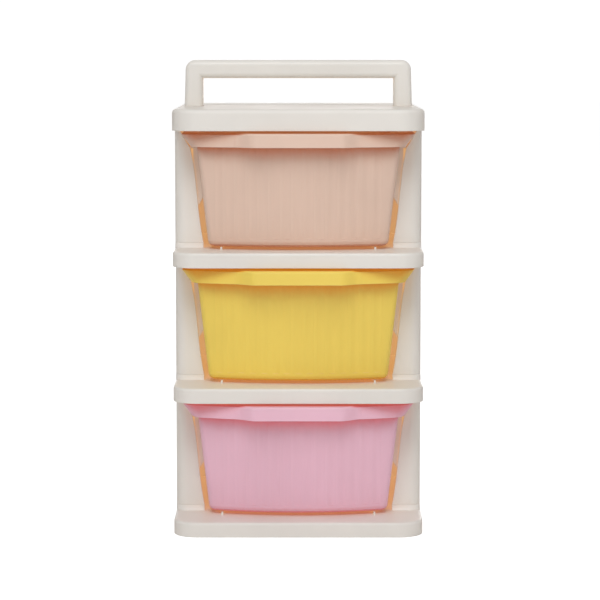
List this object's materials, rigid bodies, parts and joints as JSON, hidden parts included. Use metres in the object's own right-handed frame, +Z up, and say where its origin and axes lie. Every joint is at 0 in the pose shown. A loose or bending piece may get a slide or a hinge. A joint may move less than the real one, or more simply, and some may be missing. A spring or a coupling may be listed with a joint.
{
  "type": "plastic drawer tower",
  "caption": "Small free-standing tower of pull-out drawers in a pale plastic frame, with an upright carrying handle on its lid.",
  "frame": {"origin": "centre of the whole tower's bounding box in plan, on the floor under the base", "axes": "+Z up, the drawers' fronts towards -Y, +X to the right of somebody facing the drawers"},
  "size_m": [0.2, 0.206, 0.379],
  "materials": {
    "cream_plastic": "satin",
    "peach_plastic": "satin",
    "yellow_plastic": "satin",
    "pink_plastic": "satin"
  },
  "bodies": {
    "cabinet": {"base": "cream_plastic", "shelf_lower": "cream_plastic", "shelf_upper": "cream_plastic", "lid": "cream_plastic", "carry_handle": "cream_plastic", "side_panel_left_lower": "cream_plastic", "side_panel_right_lower": "cream_plastic", "runner_left_lower": "cream_plastic", "runner_right_lower": "cream_plastic", "back_panel_lower": "cream_plastic", "side_panel_left_middle": "cream_plastic", "side_panel_right_middle": "cream_plastic", "runner_left_middle": "cream_plastic", "runner_right_middle": "cream_plastic", "back_panel_middle": "cream_plastic", "side_panel_left_upper": "cream_plastic", "side_panel_right_upper": "cream_plastic", "runner_left_upper": "cream_plastic", "runner_right_upper": "cream_plastic", "back_panel_upper": "cream_plastic"},
    "drawer_bottom": {"drawer_bottom": "pink_plastic"},
    "drawer_middle": {"drawer_middle": "yellow_plastic"},
    "drawer_top": {"drawer_top": "peach_plastic"}
  },
  "joints": [
    {"name": "drawer_bottom_slide", "type": "slide", "parent": "cabinet", "child": "drawer_bottom", "axis": [0, -1, 0], "range_m": [0, 0.11]},
    {"name": "drawer_middle_slide", "type": "slide", "parent": "cabinet", "child": "drawer_middle", "axis": [0, -1, 0], "range_m": [0, 0.11]},
    {"name": "drawer_top_slide", "type": "slide", "parent": "cabinet", "child": "drawer_top", "axis": [0, -1, 0], "range_m": [0, 0.11]}
  ]
}
